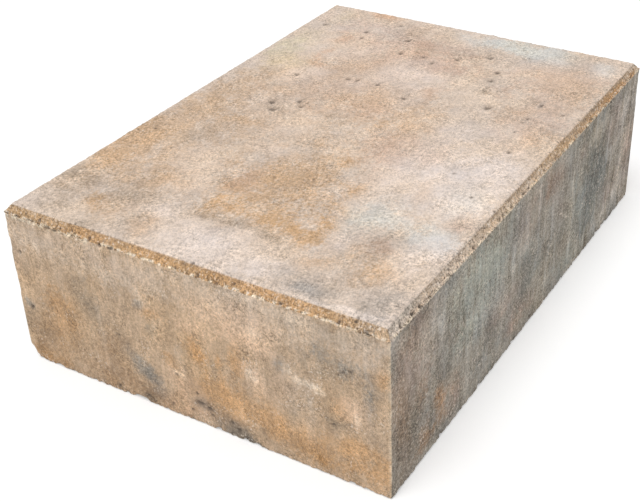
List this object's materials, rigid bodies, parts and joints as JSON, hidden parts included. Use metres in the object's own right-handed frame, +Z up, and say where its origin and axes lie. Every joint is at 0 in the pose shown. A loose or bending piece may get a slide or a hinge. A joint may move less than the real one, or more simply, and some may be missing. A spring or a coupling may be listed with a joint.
{
  "type": "block step",
  "caption": "Solid block step of pressed concrete: rectangular block with a narrow mitred bevel round its tread, square sides and a rough lower edge.",
  "frame": {"origin": "centre of the underside, on the bed that the step is laid on", "axes": "+X along the length of the step, +Y from the riser towards the back, +Z up out of the tread"},
  "size_m": [0.5, 0.35, 0.15],
  "materials": {
    "concrete": "fine-grained pressed concrete, matte, mottled beige, ochre and grey"
  },
  "bodies": {
    "root": {"block_step": "concrete"}
  },
  "joints": []
}
